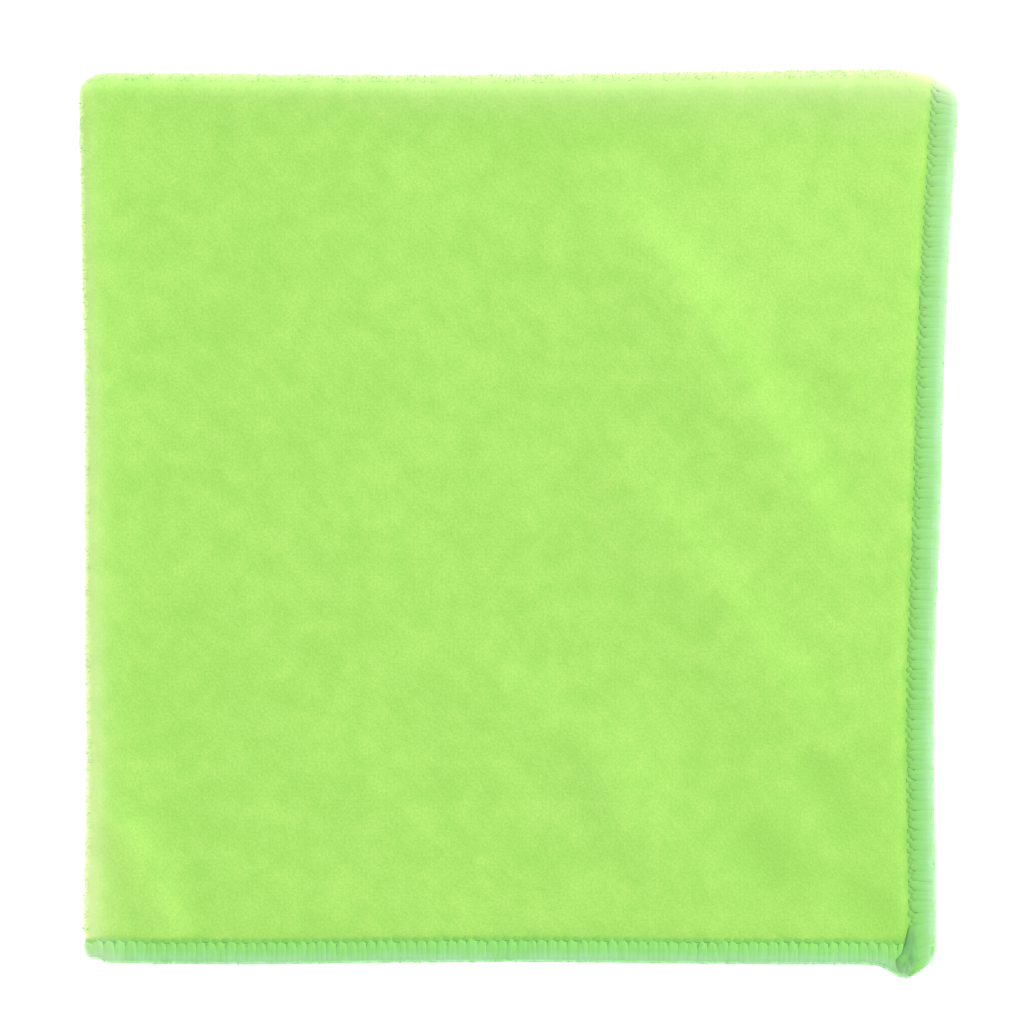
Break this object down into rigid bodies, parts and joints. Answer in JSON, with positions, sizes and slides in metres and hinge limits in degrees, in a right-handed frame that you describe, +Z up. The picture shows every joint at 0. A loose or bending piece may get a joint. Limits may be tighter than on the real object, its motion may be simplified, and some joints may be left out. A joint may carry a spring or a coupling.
{
  "type": "folded microfibre cloth",
  "caption": "Square microfibre cleaning cloth with an overlocked edge, folded in four and lying flat, lime green.",
  "frame": {"origin": "centre of the footprint, on the surface that the cloth lies on", "axes": "+Z up through the four layers; +X towards the free edges at the right of the upper face; +Y towards the folded top edge"},
  "size_m": [0.1484, 0.1536, 0.0093],
  "materials": {
    "cloth": "lime green microfibre terry with a short soft pile, matt",
    "thread": "mint green textured polyester thread, matt"
  },
  "bodies": {
    "root": {"cloth": "cloth"}
  },
  "joints": []
}
